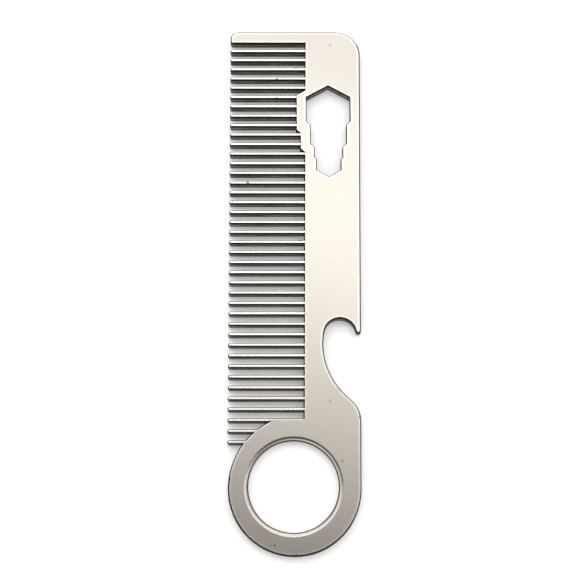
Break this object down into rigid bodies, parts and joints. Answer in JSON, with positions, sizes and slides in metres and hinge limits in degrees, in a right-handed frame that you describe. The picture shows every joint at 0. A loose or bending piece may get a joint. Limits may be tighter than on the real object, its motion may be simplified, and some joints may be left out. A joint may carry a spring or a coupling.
{
  "type": "beard comb",
  "caption": "Flat one-piece metal beard comb with a finger ring, a stepped hexagonal wrench slot and a hooked bottle opener in its edge.",
  "frame": {"origin": "middle of the back face of the plate, halfway along the comb and halfway across it", "axes": "+Y along the comb from the finger ring to the square end, +X from the teeth to the spine, +Z out of the front face"},
  "size_m": [0.0334, 0.1332, 0.0025],
  "materials": {
    "steel": "satin"
  },
  "bodies": {
    "root": {"comb_body": "steel"}
  },
  "joints": []
}
